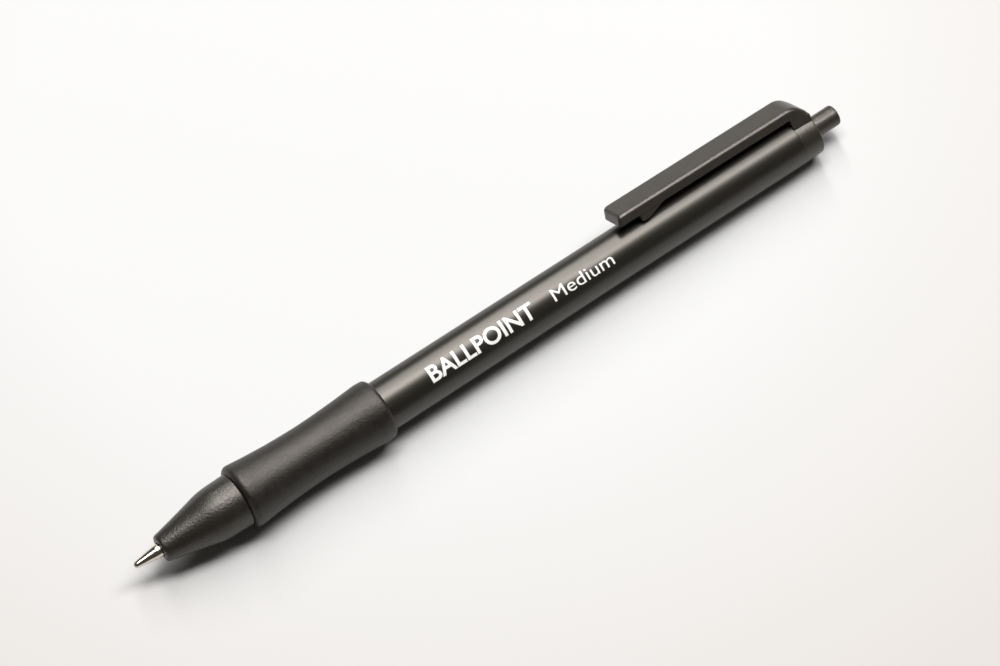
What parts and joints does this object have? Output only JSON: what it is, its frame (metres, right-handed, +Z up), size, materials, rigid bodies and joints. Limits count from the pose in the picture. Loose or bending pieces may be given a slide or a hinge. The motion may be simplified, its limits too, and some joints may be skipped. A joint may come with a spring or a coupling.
{
  "type": "retractable ballpoint pen",
  "caption": "Slim click ballpoint pen: conical nose with metal point, hourglass rubber grip, straight glossy barrel, flat pocket clip on an end cap, round push button.",
  "frame": {"origin": "centre of the pen's bounding box on the surface it lies on, with the pen in its writing position", "axes": "+X along the pen from the writing point to the push button, +Z up from the surface; the pocket clip is rolled 38 degrees from +Z towards +Y"},
  "size_m": [0.1428, 0.0124, 0.0132],
  "materials": {
    "barrel_black": "smooth satin-gloss black moulded plastic",
    "satin_black": "fine-grained satin black moulded plastic",
    "grip_rubber": "soft matte black elastomer",
    "white_acetal": "natural white acetal",
    "tube_plastic": "milky translucent tube",
    "ink": "black ballpoint ink paste",
    "nickel_silver": "turned and polished nickel silver",
    "carbide": "polished carbide ball",
    "spring_steel": "drawn spring wire"
  },
  "bodies": {
    "housing": {"barrel": "barrel_black", "front_section": "satin_black", "grip_sleeve": "grip_rubber", "end_cap": "satin_black", "guide_sleeve": "white_acetal", "return_spring": "spring_steel"},
    "button": {"push_button": "satin_black", "drive_cam": "white_acetal"},
    "refill": {"refill_tube": "tube_plastic", "ink_column": "ink", "point_holder": "white_acetal", "writing_point": "nickel_silver"},
    "rotor": {"index_rotor": "white_acetal"},
    "ball": {"point_ball": "carbide"},
    "clip": {"pocket_clip": "satin_black"}
  },
  "joints": [
    {"name": "button_slide", "type": "slide", "parent": "housing", "child": "button", "axis": [-1, 0, 0], "range_m": [-0.006, 0.0012]},
    {"name": "refill_slide", "type": "slide", "parent": "housing", "child": "refill", "axis": [-1, 0, 0], "range_m": [-0.006, 0.0012], "deforming": ["return_spring"]},
    {"name": "rotor_turn", "type": "hinge", "parent": "refill", "child": "rotor", "pos_m": [0.04395, -0.00053, 0.0057], "axis": [1, 0, 0], "range_deg": [-45.5, 9.5]},
    {"name": "ball_roll", "type": "hinge", "parent": "refill", "child": "ball", "pos_m": [-0.07085, -0.00053, 0.0057], "axis": [0, 1, 0], "continuous": true},
    {"name": "clip_flex", "type": "hinge", "parent": "housing", "child": "clip", "pos_m": [0.062, 0.00327, 0.01057], "axis": [0, 0.788, -0.6157], "range_deg": [0, 4], "stiffness_Nm_per_rad": 2}
  ],
  "couplings": [
    {"joint": "refill_slide", "follows": "button_slide", "ratio": 1},
    {"joint": "rotor_turn", "follows": "button_slide", "rad_per_m": 130.9}
  ]
}
